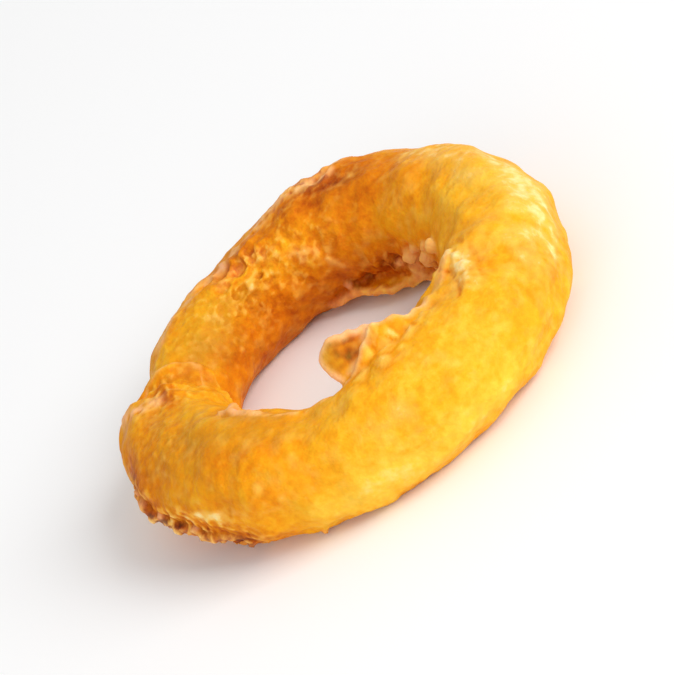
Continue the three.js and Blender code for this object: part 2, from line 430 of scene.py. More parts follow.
@dataclass(frozen=True)
class CrustShape:
    """The crust's form, as the solid has it, in millimetres and degrees."""

    outer_width: float = 75.0
    limb_width: float = 19.2
    squareness: float = 2.12
    pressed: float = 0.55
    lump: Pair = (0.42, 17.0)
    dimple: Pair = (0.32, 7.5)
    crag: Pair = (0.65, 5.2)
    underside_calm: float = 0.35
    calm_crust: float = 0.12
    lap_height: float = 1.35
    lap_step: float = 1.0
    lap_rim: float = 0.6
    lap_fade: float = 46.0
    lap_turns: Pair = (-25.0, 205.0)
    lap_ease: float = 30.0
    lap_ahead: float = 20.0

    SWELL = (
        (0, -0.3), (28, -0.4), (42, -0.6), (58, -0.4), (75, -0.5), (92, -1.2), (112, -1.7), (130, -1.6),
        (148, -2.5), (160, -2.8), (168, -1.9), (178, -1.3), (198, -0.7), (214, -0.4), (228, -0.6), (238, -1.1),
        (247, -1.6), (256, -1.3), (266, -0.7), (278, -0.5), (300, -0.35), (325, -0.3), (360, -0.3),
    )
    LAP_EDGE = (
        (-60, 178), (10, 172), (45, 163), (76, 155), (92, 153), (112, 150), (130, 148), (146, 150), (160, 160),
        (172, 170), (220, 182),
    )
    ROUGH = patches(
        (106, 112, 17, 36), (68, 74, 16, 16), (208, -50, 32, 24), (300, 118, 26, 26), (164, 112, 9, 34),
        (30, 205, 30, 34), (20, -60, 40, 26), (120, -48, 36, 22), (250, 215, 44, 24),
    )
    LUMP_SEED, DIMPLE_SEED, CRAG_SEED = 3376, 12, 13
    CRAG_COUNT = 24

    @property
    def centre_radius(self) -> float:
        """Radius of the limb's centre line."""
        return (self.outer_width - self.limb_width) / 2

    @property
    def limb_radius(self) -> float:
        """Half the limb's width."""
        return self.limb_width / 2

    def ripples(self, apart: float, seed: int, count: int = 16) -> Ripples:
        """Make unevenness that fits this ring."""
        return Ripples(apart, seed, TAU * self.centre_radius, TAU * self.limb_radius, count)

    def swell(self, azimuth: Array) -> Array:
        """Give what the batter's thickness adds to the limb's radius."""
        return through(self.SWELL, azimuth % 360)

    def roughness(self, azimuth: Array, turn: Array) -> Array:
        """Give how rough the crust is, from calm to 1."""
        return np.maximum(felt(self.ROUGH, azimuth, turn), self.calm_crust)

    def behind_lap(self, azimuth: Array, turn: Array) -> tuple[Array, Array]:
        """Measure how far a place lies behind the lapping lobe's edge.

        Args:
            azimuth: Angles round the hole.
            turn: Angles round the limb.

        Returns:
            The way behind the edge in degrees and along the crust in millimetres.
        """
        side = between(90, turn) + 90
        behind = between(0, azimuth - through(self.LAP_EDGE, side))
        reach = np.radians(behind) * (self.centre_radius + self.limb_radius * np.cos(np.radians(turn)))
        return behind, reach

    def lap(self, azimuth: Array, turn: Array) -> Array:
        """Give the height of the lobe that laps over the limb: a step with a raised rim, fading out behind.

        Args:
            azimuth: Angles round the hole.
            turn: Angles round the limb.

        Returns:
            The height in millimetres.
        """
        side = between(90, turn) + 90
        behind, reach = self.behind_lap(azimuth, turn)
        first, last = self.lap_turns
        mask = smooth(side, first, first + self.lap_ease) * (1 - smooth(side, last - self.lap_ease, last))
        step = smooth(reach, -self.lap_step / 2, self.lap_step / 2)
        step = step * (1 - smooth(behind, self.lap_fade / 4, self.lap_fade))
        rim = hump(reach, self.lap_step, self.lap_step)
        return np.where(behind > -self.lap_ahead, mask * (self.lap_height * step + self.lap_rim * rim), 0)

    def relief(self, azimuth: Array, turn: Array) -> Array:
        """Give how far the crust stands off the smooth limb.

        Args:
            azimuth: Angles round the hole.
            turn: Angles round the limb.

        Returns:
            The height in millimetres.
        """
        underneath = np.maximum(0, -np.sin(np.radians(turn))) ** 4
        calm = 1 + (self.underside_calm - 1) * underneath
        crag = 1 - 2 * np.abs(self.ripples(self.crag[1], self.CRAG_SEED, self.CRAG_COUNT).at(azimuth, turn))
        uneven = (
            self.lump[0] * self.ripples(self.lump[1], self.LUMP_SEED).at(azimuth, turn)
            + self.dimple[0] * self.ripples(self.dimple[1], self.DIMPLE_SEED).at(azimuth, turn)
            + self.crag[0] * self.roughness(azimuth, turn) * crag
        )
        return calm * uneven + self.lap(azimuth, turn)

    @staticmethod
    def leaning(azimuth: Array, lean: Array) -> Array:
        """Give the direction in the limb's section that leans by an angle: 0 points outwards and 90 up."""
        a, b = np.radians(azimuth), np.radians(lean)
        return np.stack([np.cos(a) * np.cos(b), np.sin(a) * np.cos(b), np.sin(b) + 0 * a], axis=-1)

    def point(self, azimuth: Array, turn: Array, lift: Array | float = 0.0) -> Array:
        """Find places on the crust.

        Args:
            azimuth: Angles round the hole.
            turn: Angles round the limb.
            lift: How far above the crust.

        Returns:
            One row of coordinates for each place.
        """
        radius = self.limb_radius + self.swell(azimuth)
        c, s = np.abs(np.cos(np.radians(turn))), np.abs(np.sin(np.radians(turn)))
        square = (c**self.squareness + s**self.squareness) ** (-1 / self.squareness)
        out = radius * square + self.relief(azimuth, turn) + lift
        centre = self.leaning(azimuth, np.zeros_like(azimuth)) * self.centre_radius
        centre[..., 2] = radius - self.pressed
        return centre + self.leaning(azimuth, turn) * out[..., None]


def coordinates(mesh: bpy.types.Mesh) -> Array:
    """Read where a mesh's corners are.

    Args:
        mesh: The mesh.

    Returns:
        One row of coordinates for each corner.
    """
    flat = np.empty(3 * len(mesh.vertices))
    mesh.vertices.foreach_get("co", flat)
    return flat.reshape(-1, 3)


def place(mesh: bpy.types.Mesh, points: Array) -> None:
    """Move a mesh's corners.

    Args:
        mesh: The mesh to change.
        points: One row of coordinates for each corner.
    """
    mesh.vertices.foreach_set("co", points.astype(np.float32).ravel())
    mesh.update()


def nearest(line: Array, points: Array, margin: float = 3, far: float = 9) -> tuple[Array, Array]:
    """Find which place of a line lies nearest to each point, and how far off.

    Args:
        line: Places along the line, a row each.
        points: Where to look from, a row each.
        margin: How far round the line's box to look.
        far: What stands for the way to the line from outside that.

    Returns:
        The numbers of the nearest places, and the ways to them.
    """
    tree = KDTree(len(line))
    for index, place_on_line in enumerate(line):
        tree.insert(place_on_line, index)
    tree.balance()
    index, away = np.zeros(len(points), dtype=int), np.full(len(points), float(far))
    low, high = line.min(axis=0) - margin, line.max(axis=0) + margin
    for i in np.flatnonzero(((points > low) & (points < high)).all(axis=1)):
        _, index[i], away[i] = tree.find(points[i])
    return index, away


def as_mesh(shape: bmesh.types.BMesh, name: str) -> bpy.types.Mesh:
    """Turn a bmesh into a mesh and free it.

    Args:
        shape: The bmesh.
        name: The mesh's name.

    Returns:
        The new mesh, with its faces pointing out.
    """
    bmesh.ops.recalc_face_normals(shape, faces=shape.faces)
    mesh = bpy.data.meshes.new(name)
    shape.to_mesh(mesh)
    shape.free()
    return mesh


def modified(mesh: bpy.types.Mesh, kind: str, **settings: object) -> bpy.types.Mesh:
    """Run one modifier on a mesh and keep its result.

    Args:
        mesh: The mesh to work on. It is used up.
        kind: The modifier's type.
        **settings: Its settings.

    Returns:
        The resulting mesh.
    """
    carrier = bpy.data.objects.new(mesh.name, mesh)
    bpy.context.scene.collection.objects.link(carrier)
    modifier = carrier.modifiers.new(kind.lower(), kind)
    for key, value in settings.items():
        setattr(modifier, key, value)
    shown = carrier.evaluated_get(bpy.context.evaluated_depsgraph_get())
    result = bpy.data.meshes.new_from_object(shown)
    bpy.data.objects.remove(carrier)
    bpy.data.meshes.remove(mesh)
    return result


@dataclass(frozen=True)
class Frying:
    """The fine relief that frying leaves, in millimetres, and how much paler or browner it makes the crust: paler on
    crests and darker in pits, gaps and folds, partly its own colour and partly painted highlight and painted shade.

    A pair is a height and what is added to it where the crust is crisp, or the two ends of a range.
    """

    drift: float = 0.45
    vein: float = 0.17
    vein_width: float = 0.21
    clot: float = 0.20
    clot_range: Pair = (-0.1, 0.55)
    crisp_sunk: float = 0.16
    bead: float = 0.14
    bead_radius: float = 1.25
    pit: float = 0.12
    pit_radius: float = 0.35
    pit_share: float = 0.25
    blister: float = 0.16
    blister_radius: float = 0.75
    blister_from: float = 0.55
    pleat_scale: Pair = (24.0, 8.0)
    pleat_drift: float = 0.9
    pleat_gap: float = 1.6
    pleat: float = 0.34
    pleat_step: float = 0.36
    grit: float = 0.46
    grit_range: Pair = (-0.15, 0.45)
    grit_sunk: float = 0.18
    swell: Pair = (0.13, 0.10)
    small: Pair = (0.05, 0.10)
    fine: Pair = (0.020, 0.03)
    vein_pale: float = 0.34
    clot_pale: float = 0.38
    small_pale: float = 0.15
    crisp_dull: float = 0.32
    blister_pale: float = 0.15
    grit_pale: float = 0.75
    grit_dull: float = 0.25
    pleat_pale: float = 0.45
    pleat_step_pale: float = 0.7
    pit_brown: float = 0.12
    clot_brown: float = 0.08
    pleat_brown: float = 0.20
    grit_brown: float = 0.15

    CRISP = patches(
        (105, 138, 32, 46, 0.9), (78, 78, 24, 22, 0.5), (125, 70, 22, 30, 0.4), (168, 106, 14, 44, 0.8),
        (202, -20, 26, 30, 0.9), (245, -62, 50, 22, 0.5), (30, 205, 34, 30, 0.6), (20, -58, 44, 26, 0.7),
        (120, -46, 40, 26, 0.8), (330, -62, 44, 20, 0.6), (192, 74, 15, 36, 0.35),
    )
    GRITTY = patches((199, -8, 15, 20, 1.0), (212, -30, 12, 14, 0.8), (186, 12, 7, 12, 0.7))
    LOBED = patches((281, 104, 18, 17), (272, 88, 8, 12, 0.6), (306, 108, 12, 12, 0.25), (214, 122, 9, 14, 0.5))
    MARKS = (
        Mark(101.5, 144, (0.55, 0.45), -0.9),
        Mark(104, 139, (1.5, 0.6), 0.25, 30),
        Mark(98, 151, (1.3, 0.5), 0.25, -20),
        Mark(178, 86, (1.6, 1.2), -0.35, 20),
    )

    def crisp(self, azimuth: Array, turn: Array) -> Array:
        """Give how crisp the crust is."""
        return felt(self.CRISP, azimuth, turn)

    def fried(self, points: Array, azimuth: Array, turn: Array, shape: CrustShape) -> tuple[Array, Array, Array]:
        """Work out the relief: veins, clots, beads, pleats, blisters, pits and grain.

        Args:
            points: Places on the crust.
            azimuth: Their azimuths.
            turn: Their turns.
            shape: The crust's form.

        Returns:
            How far each place is raised, how pale it is for standing proud, partly as a painted highlight, and how
            dark in its creases and pits, partly as painted shade.
        """
        crisp = self.crisp(azimuth, turn)
        lobed = felt(self.LOBED, azimuth, turn)
        gritty = felt(self.GRITTY, azimuth, turn)
        flow = points + self.drift * np.stack([Noise.FLOW.at(points, i) for i in range(3)], axis=-1)
        vein = hump(Noise.VEIN.at(flow), self.vein_width)
        clot = smooth(Noise.CLOT.at(flow), *self.clot_range)
        grit = smooth(Noise.GRIT.at(points), *self.grit_range)
        near, _, own = Noise.BEAD.cells(flow)
        bead = np.sqrt(np.maximum(0.0, 1 - (near / self.bead_radius) ** 2))
        length, width = self.pleat_scale
        strip = np.stack([np.radians(azimuth % 360) * length, np.radians(turn % 360) * width, 0 * azimuth], axis=-1)
        wide, next_wide, step = Noise.PLEAT.cells(strip + self.pleat_drift * (flow - points))
        pleat = smooth(next_wide - wide, 0.0, self.pleat_gap)
        spot, _, rare = Noise.SPOT.cells(points)
        blister = np.where(rare > self.blister_from, hump(spot, self.blister_radius), 0)
        pit = np.where(rare < self.pit_share, hump(spot, self.pit_radius), 0)
        small = Noise.SMALL.at(points)
        crags = self.vein * vein + self.clot * clot - self.crisp_sunk
        crags = crags + self.bead * (own - 0.5) * bead - self.pit * pit
        raised = (
            crisp * crags
            + lobed * (self.pleat * (pleat - 0.6) + self.pleat_step * (step - 0.5) * pleat)
            + gritty * (self.grit * grit - self.grit_sunk)
            + self.blister * blister
            + (self.swell[0] + self.swell[1] * crisp) * Noise.SWELL.at(points)
            + (self.small[0] + self.small[1] * crisp) * small
            + (self.fine[0] + self.fine[1] * crisp) * Noise.FINE.at(points)
        )
        for mark in self.MARKS:
            raised += mark.at(azimuth, turn, shape)
        # Paler on crests and darker in pits, gaps and pleat folds: partly the crust's own colour, partly painted
        # highlight and painted shade that follow the relief.
        pale = crisp * (self.vein_pale * vein + self.clot_pale * clot + self.small_pale * small - self.crisp_dull)
        pale += self.blister_pale * blister
        pale += gritty * (self.grit_pale * grit - self.grit_dull)
        pale += lobed * (self.pleat_pale * (pleat - 0.4) + self.pleat_step_pale * (step - 0.3))
        browned = crisp * (self.pit_brown * pit + self.clot_brown * (0.5 - clot))
        browned += self.pleat_brown * lobed * (1 - pleat)
        browned += self.grit_brown * gritty * (1 - grit)
        return raised, pale, browned


@dataclass(frozen=True)
class Colouring:
    """Where the batter fried browner, paler or more olive than elsewhere, with painted shade, painted light and
    painted highlights among these patches.

    A pair is a plain share and what noise adds to it, or the two ends of a range. Each colouring of the lapping
    lobe's edge has a strength, a width and how far behind the edge its middle lies.
    """

    plain: float = 0.40
    patchy: Pair = (0.75, 0.9)
    streaky: Pair = (0.7, 1.2)
    ragged: float = 1.2
    rim_soft: Pair = (0.9, 0.4)
    rim_pale: float = 0.8
    rim_height: float = 0.7
    rim_fade: float = 0.5
    lap_rosy: float = 0.5
    lap_soft: Pair = (0.8, 0.6)
    lap_first: Pair = (30, 70)
    lap_last: Pair = (150, 185)
    crumb_reach: float = 1.15

    # Mostly browning; the patches marked below are painted shade and painted light instead.
    BROWNING_AND_PAINTED_LIGHT = patches(
        (203, -20, 26, 20, 0.20), (212, -36, 18, 18, 0.42), (24, 192, 24, 22, 0.10), (100, 70, 36, 50, 0.14),
        # The patch at azimuth 60 and turn 205 darkens the hole's lower inner wall: painted shade, with some browning.
        (52, 105, 36, 46, 0.20), (60, 92, 22, 34, 0.20), (60, 205, 80, 36, 0.30), (132, 165, 30, 30, 0.12),
        (140, 235, 70, 30, 0.22), (192, 40, 34, 70, 0.10), (174, 105, 9, 12, 0.30), (182, 78, 6, 8, 0.10),
        # The patch at azimuth 265 and turn -22 lightens the near limb's lower side, which turns away into shade:
        # painted light.
        (186, 24, 8, 14, 0.20), (265, -22, 40, 30, -0.24), (300, 40, 50, 60, -0.05), (322, 10, 24, 24, 0.10),
        # The last patch on the next line, at azimuth 262 and turn 84, lightens a hollow that lies in shade: painted
        # light.
        (322, 42, 18, 26, 0.10), (324, 80, 12, 16, 0.05), (281, 104, 15, 18, -0.15), (262, 84, 6, 9, -0.06),
        # The patch at azimuth 108 and turn 98 darkens the far limb's left top edge: a painted cast shadow.
        (232, 112, 12, 14, 0.08), (238, 8, 12, 16, 0.07), (108, 98, 12, 14, 0.16), (206, 45, 22, 60, 0.08),
        (232, 60, 16, 40, 0.07), (232, 2, 14, 18, 0.09), (57, 148, 18, 20, 0.10), (215, 6, 7, 6, -0.12),
        # The patch at azimuth 350 and turn 50 lightens the right limb's outer top: part of a painted highlight.
        (126, 186, 16, 20, 0.10), (350, 50, 30, 60, -0.08), (180, 270, 200, 34, 0.16),
    )
    PALE = patches(
        # The first three patches on the next line paint a broad soft highlight on the right limb's outer top.
        (354, 52, 14, 26, 0.50), (334, 38, 18, 20, 0.75), (16, 80, 18, 13, 0.72), (106, 104, 14, 12, -0.25),
        # On the next line, (262, 84) lightens that same shaded hollow as painted light, and (316, 88) is the second
        # peak's painted highlight.
        (62, 114, 12, 12, -0.2), (262, 84, 6, 9, 0.3), (316, 88, 12, 20, 0.5), (216, 7, 6, 5, 0.95),
        (209, 3, 5, 5, 0.65), (180, 76, 6, 10, 0.35), (75, 78, 12, 8, 0.35), (265, 33, 9, 12, 0.25),
        (100, 82, 6, 6, 0.35), (290, 108, 10, 12, 0.12), (281, 106, 8, 9, 0.12),
    )
    OLIVE = patches(
        (134, 140, 24, 40, 0.75), (206, 80, 26, 50, 0.45), (232, 105, 18, 26, 0.30), (100, 150, 16, 20, 0.20),
        # The last patch takes the olive out of that shaded hollow beside the tongue: painted light.
        (8, 42, 20, 16, 0.35), (316, 84, 9, 14, 0.22), (180, 76, 7, 12, 0.3), (263, 84, 8, 12, -0.3),
    )
    TAN = Patch(258, 124, (12, 24), 0.8)
    LAP_EDGES = ((0.5, 0.55, 0.7), (0.14, 0.9, -0.9), (0.12, 1.8, 3.2))
    FRINGES = patches((209, -15, 36, 40, 0.24), (267, 121, 9, 26, 0.36), (56, 212, 40, 40, -0.26))

    def browning_and_painted_light_at(self, azimuth: Array, turn: Array) -> Array:
        """Work out how far the batter browned, with painted shade and painted light added in some places.

        Args:
            azimuth: Angles round the hole.
            turn: Angles round the limb.

        Returns:
            From 0, pale, to 1, deep brown.
        """
        browning_and_painted_light = np.full(len(azimuth), self.plain)
        for patch in self.BROWNING_AND_PAINTED_LIGHT:
            browning_and_painted_light += patch.at(azimuth, turn)
        return browning_and_painted_light

    def olive(self, azimuth: Array, turn: Array, off: Array) -> Array:
        """Work out how olive the batter is, which is tan where it stands off the limb.

        Args:
            azimuth: Angles round the hole.
            turn: Angles round the limb.
            off: How far it stands off the limb, from 0 to 1.

        Returns:
            The share of olive.
        """
        olive = np.sum([patch.at(azimuth, turn) for patch in self.OLIVE], axis=0)
        return olive + self.TAN.at(azimuth, turn) * off

    def lapped(self, points: Array, azimuth: Array, turn: Array, shape: CrustShape) -> tuple[Array, Array]:
        """Colour the edge of the lapping lobe: a pale rim, a shaded foot and a browned stretch behind.

        Args:
            points: Places on the crust.
            azimuth: Their azimuths.
            turn: Their turns.
            shape: The crust's form.

        Returns:
            How much paler and how much browner each place is.
        """
        _, reach = shape.behind_lap(azimuth, turn)
        side = between(90, turn) + 90
        plain, added = self.lap_soft
        here = smooth(side, *self.lap_first) * (1 - smooth(side, *self.lap_last))
        here = here * (plain + added * Noise.LAP.at(points))
        rim, foot, behind = (strength * hump(reach, width, at) for strength, width, at in self.LAP_EDGES)
        return here * rim, here * (foot + behind)


@dataclass
class Look:
    """What the crust's corners are given: how far each is raised, and how pale, rosy and browned it is, with painted
    highlights, painted shade and painted light among these.
    """

    raised: Array
    pale: Array
    rosy: Array
    browning_and_painted_light: Array

    def add(self, share: Array, uneven: Array, layer: Streak) -> None:
        """Add a streak where it is felt.

        Args:
            share: How strongly each corner feels it.
            uneven: How unevenly it was laid there.
            layer: What it does.
        """
        self.raised += layer.height * share * uneven
        self.pale += layer.pale * share * uneven
        self.rosy += layer.rosy * share * uneven
        self.browning_and_painted_light += layer.browning_and_painted_light * share


@dataclass
class OnionRing:
    """The battered ring: its limb, fins and crumbs fused into one crust, then blistered and dressed."""

    shape: CrustShape = CrustShape()
    frying: Frying = Frying()
    colouring: Colouring = Colouring()
    round_ring: int = 420
    round_limb: int = 150
    fin_columns: float = 1.6
    fin_rows: int = 16
    fin_sunk: float = 1.4
    crumb_bulge: float = 0.42
    crumb_grain: float = 0.9
    voxel: float = 0.395
    snap: Pair = (0.15, 0.45)
    soften_rounds: int = 26
    base_rounds: int = 40
    edge_rounds: int = 6
    off_limb: Pair = (0.8, 2.6)
    proud_height: float = 1.2
    edge_height: float = 0.12
    darkest: float = 0.92
    node: str = "onion_ring"

    CRUMB_SEED = 60
    FINS = (
        Fin(
            (121, 121), -1, 20, (1.5, 0.8),
            (
                (261.6, 0.2), (262.3, 2.6), (263.2, 4.6), (264.6, 5.9), (267, 6.7), (270, 6.8), (273, 6.2),
                (276, 5.3), (279, 4.5), (284, 3.4),
            ),
            tatter=0.0, crinkle=0.1, sway=-11.0, dish=1.1, rim=1.0, rim_width=0.65,
        ),
        Fin(
            (114, 114), 4, 18, (4.6, 1.8),
            (
                (262, -0.6), (266, 0.4), (270, 1.1), (274, 2.0), (278, 2.9), (281, 3.3), (284, 3.4), (287, 3.0),
                (290, 2.2), (295, 1.1), (300, 0.5), (306, 0.2), (316, 0.4), (323, 0.4), (332, -0.6),
            ),
            tatter=0.0, crinkle=0.15, rim=0.6, rim_width=0.75,
        ),
        Fin(
            (119, 119), -3, 20, (2.6, 0.9),
            ((205, -0.6), (210, 0.6), (214, 1.2), (219, 0.5), (226, 0.6), (236, -0.6)),
            tatter=0.2, rim=0.6,
        ),
        Fin(
            (14, -32), -8, -8, (2.8, 1.2),
            (
                (183, -0.6), (188, 0.6), (193, 1.2), (197, 0.8), (202, 1.3), (207, 0.9), (213, 1.0), (219, 0.3),
                (226, -0.6),
            ),
            tatter=0.15, crinkle=0.2, rim=0.2,
        ),
        Fin(
            (-52, -52), 6, 12, (2.6, 0.8),
            ((203, -0.6), (209, 0.7), (215, 0.8), (221, 0.4), (228, 0.3), (236, -0.6)),
            tatter=0.3, rim=0.2,
        ),
        Fin(
            (63, 63), 3, 14, (3.2, 1.5),
            ((46, -0.6), (54, 0.1), (62, 0.4), (69, 0.3), (76, 0.4), (84, 0.1), (92, -0.6)),
            tatter=0.0, crinkle=0.1,
        ),
        Fin(
            (221, 221), -26, -18, (3.6, 1.1),
            ((18, -0.6), (26, 1.2), (36, 2.5), (44, 3.4), (52, 4.4), (60, 4.5), (68, 3.6), (78, 2.0), (92, -0.6)),
            tatter=0.25, rim=0.3,
        ),
    )
    # The first ten crumbs sit in the hole. Their pale, rosy colouring is partly their own and partly painted light
    # that lifts the hole's shade off them.
    CRUMBS = tuple(Crumb(*row) for row in (
        (31, 187, 1.25, 0.5, -0.40, 0.75), (15, 182, 1.15, 0.45, -0.38, 0.75), (358, 157, 1.1, 0.3, -0.24, 0.7),
        (46, 219, 1.1, 0.9, -0.34, 0.6), (36, 207, 1.15, 0.5, -0.38, 0.65), (12, 169, 0.8, 0.3, -0.16, 0.6),
        (22, 194, 0.9, 0.4, -0.38, 0.7), (26, 178, 0.75, 0.3, -0.36, 0.7), (20, 206, 0.8, 0.4, -0.36, 0.65),
        (44, 200, 0.6, 0.3, -0.38, 0.6), (73, 205, 0.6, 0.3, 0.05, 0.5), (212, 128, 0.95, 0.5, 0.0, 0.7),
        (216, 122, 0.6, 0.4, 0.0, 0.6), (189, 17, 0.55, 0.2, 0.0, 0.6), (191, 8, 0.75, 0.3, 0.0, 0.6),
        (193, -3, 0.6, 0.5, 0.1, 0.4), (196, -10, 1.0, 0.3, 0.05, 0.5), (198, 4, 0.5, 0.2, 0.0, 0.7),
        (203, -16, 0.65, 0.5, 0.1, 0.3), (206, -26, 0.9, 0.2, 0.2, 0.2), (208, -8, 0.55, 0.4, 0.0, 0.6),
        (212, -30, 0.6, 0.4, 0.1, 0.4), (219, -38, 0.75, 0.2, 0.15, 0.3), (238, -50, 0.6, 0.2, 0.1, 0.3),
        (118, -40, 0.9, 0.3, 0.1, 0.2), (126, -34, 0.7, 0.3, 0.1, 0.3), (108, -46, 0.8, 0.3, 0.1, 0.2),
        (352, -52, 0.9, 0.3, 0.1, 0.2), (2, -46, 0.7, 0.3, 0.1, 0.3), (340, -56, 0.8, 0.3, 0.1, 0.2),
    ))
    SOFTENED = patches((286, 88, 24, 12), (308, 112, 14, 14), (266, 98, 10, 8, 0.7))
    STREAKS = (
        Streak(
            ((114, 112), (106, 109), (100, 115), (94, 125), (87, 134), (83, 152), (76, 156), (72, 168), (68, 180)),
            0.9, height=0.24, pale=0.30, rosy=0.15,
        ),
        # Pale, rosy lines along the far limb's and the left shoulder's outline as the camera sees it: painted rim
        # highlights.
        Streak(((106, 80), (97, 80), (88, 79), (76, 77), (64, 75)), 1.2, pale=0.45, rosy=0.62),
        Streak(((138, 68), (130, 71), (122, 74), (114, 77), (106, 80)), 1.2, pale=0.4, rosy=0.55),
        Streak(((162, 38), (167, 50), (170, 64), (172, 75), (173, 84), (174, 92)), 1.3, pale=0.5, rosy=0.55),
        # A broad pale band along the right limb's outer top: a painted highlight.
        Streak(((-30, 10), (-20, 22), (-10, 32), (0, 42), (12, 51), (24, 60), (36, 67)), 2.8, pale=0.58),
        # The second peak's ridge carries a painted highlight, and the two creases beside it carry painted shade.
        Streak(((323, 110), (318, 97), (313, 83), (308, 68)), 1.3, height=0.32, pale=0.5),
        Streak(((316, 116), (314, 100), (309, 86), (304, 74)), 0.5, height=-0.22, browning_and_painted_light=0.10),
        Streak(((329, 106), (324, 92), (319, 78), (312, 64)), 0.5, height=-0.16, browning_and_painted_light=0.04),
        # A low ridge along the near limb's inner lip, with a painted highlight line along its edge.
        Streak(((264, 111), (252, 114), (240, 116), (228, 119), (216, 124)), 0.6, height=0.1, pale=0.3, rosy=0.32),
        # The left shoulder's raised edge, with a painted rosy rim highlight on it.
        Streak(((166, 50), (171, 62), (175, 76)), 0.6, height=0.25, rosy=0.6),
    )

    def limb(self) -> bpy.types.Mesh:
        """Bend the limb round its hole and give it its crust.

        Returns:
            Its mesh.
        """
        shape = bmesh.new()
        section = bmesh.ops.create_circle(shape, segments=self.round_limb, radius=self.shape.limb_radius)
        stand = Matrix.Translation((self.shape.centre_radius, 0, 0)) @ Matrix.Rotation(math.pi / 2, 4, "X")
        bmesh.ops.transform(shape, matrix=stand, verts=section["verts"])
        bmesh.ops.spin(
            shape, geom=shape.verts[:] + shape.edges[:], cent=(0, 0, 0), axis=(0, 0, 1), dvec=(0, 0, 0),
            angle=TAU, steps=self.round_ring, use_merge=True, use_duplicate=False,
        )
        mesh = as_mesh(shape, "limb")
        x, y, z = coordinates(mesh).T
        azimuth, turn = self.angles(np.stack([x, y, z], axis=-1), middle=0.0)
        place(mesh, self.shape.point(azimuth, turn))
        return mesh

    def angles(self, points: Array, middle: Array | float) -> tuple[Array, Array]:
        """Find the azimuth and the turn of places.

        Args:
            points: One row of coordinates for each place.
            middle: How high the limb's centre line lies there.

        Returns:
            The azimuths and the turns, in degrees.
        """
        x, y, z = points.T
        azimuth = np.degrees(np.arctan2(y, x))
        turn = np.degrees(np.arctan2(z - middle, np.hypot(x, y) - self.shape.centre_radius))
        return azimuth, turn

    def fin(self, fin: Fin) -> bpy.types.Mesh:
        """Make one fin: a slab bent along the crust, thinning to its edge and curling over.

        Args:
            fin: What the fin is like.

        Returns:
            Its mesh.
        """
        first, last = fin.ends
        columns = int((last - first) * self.fin_columns)
        shape = bmesh.new()
        bmesh.ops.create_grid(shape, x_segments=columns, y_segments=self.fin_rows, size=0.5)
        grown = bmesh.ops.extrude_face_region(shape, geom=shape.faces[:])
        raised = [item for item in grown["geom"] if isinstance(item, bmesh.types.BMVert)]
        bmesh.ops.translate(shape, verts=raised, vec=(0, 0, 1))
        mesh = as_mesh(shape, "fin")
        x, y, z = coordinates(mesh).T
        place(mesh, self.laid(fin, x + 0.5, y + 0.5, z - 0.5))
        return mesh

    def laid(self, fin: Fin, along: Array, rise: Array, across: Array) -> Array:
        """Lay places of a fin out on the crust.

        Args:
            fin: What the fin is like.
            along: Shares of the way along it.
            rise: Shares of the way from its sunk root to its edge.
            across: Shares of its thickness, from -0.5 to 0.5.

        Returns:
            One row of coordinates for each place.
        """
        first, last = fin.ends
        root = fin.root[0] + (fin.root[1] - fin.root[0]) * along
        azimuth = first + (last - first) * along
        height = fin.height(azimuth)
        lean = root + fin.lean + fin.curl * rise**2 * np.minimum(1, height / fin.FULL_CURL_HEIGHT)
        up = -self.fin_sunk + (height + self.fin_sunk) * rise
        aside = fin.aside(along, rise, across)
        azimuth = azimuth + fin.sway * np.clip(up / fin.FULL_SWAY_HEIGHT, 0, 1) * (1 - along)
        points = self.shape.point(azimuth, root) + self.shape.leaning(azimuth, lean) * up[:, None]
        return points + self.shape.leaning(azimuth, lean + 90) * aside[:, None]

    def rim_highlights(self, points: Array, steps: int = 160) -> Array:
        """Work out the painted rim highlight along the fins' edges: how pale places are for lying at a fin's edge.

        Args:
            points: Places on the crust.
            steps: How finely to follow each edge.

        Returns:
            From 0 to 1.
        """
        along = np.linspace(0, 1, steps)
        rim_highlights = np.zeros(len(points))
        for fin in self.FINS:
            first, last = fin.ends
            height = fin.height(first + (last - first) * along)
            strength = fin.rim * smooth(height, 0.0, self.colouring.rim_height)
            index, away = nearest(self.laid(fin, along, np.ones(steps), np.zeros(steps)), points)
            beyond = np.maximum(away - fin.rim_width, 0)
            rim_highlights = np.maximum(rim_highlights, strength[index] * hump(beyond, self.colouring.rim_fade))
        return rim_highlights

    def beside(self, streak: Streak, points: Array, steps: int = 20) -> Array:
        """Work out how strongly a streak is felt.

        Args:
            streak: The streak.
            points: Places on the crust.
            steps: How many steps follow it from one of its knots to the next.

        Returns:
            From 0 to 1.
        """
        azimuth, turn = np.array(streak.path).T
        leg = np.arange(len(azimuth))
        fine = np.linspace(0, leg[-1], steps * len(leg))
        line = self.shape.point(np.interp(fine, leg, azimuth), np.interp(fine, leg, turn))
        _, away = nearest(line, points)
        return hump(away, streak.width)

    def crumb(self, index: int, crumb: Crumb) -> bpy.types.Mesh:
        """Make one crumb, a small uneven ball.

        Args:
            index: Which crumb it is, so that no two are alike.
            crumb: Where it is and how big.

        Returns:
            Its mesh.
        """
        shape = bmesh.new()
        bmesh.ops.create_icosphere(shape, subdivisions=3, radius=crumb.radius)
        mesh = as_mesh(shape, "crumb")
        points = coordinates(mesh)
        uneven = Grain(self.CRUMB_SEED + index).at(points, self.crumb_grain * crumb.radius)
        bulge = 1 + self.crumb_bulge * uneven
        place(mesh, points * bulge[:, None] + self.middle(crumb))
        return mesh

    def middle(self, crumb: Crumb) -> Array:
        """Find a crumb's middle."""
        return self.shape.point(np.array([float(crumb.azimuth)]), np.array([float(crumb.turn)]), crumb.lift)[0]

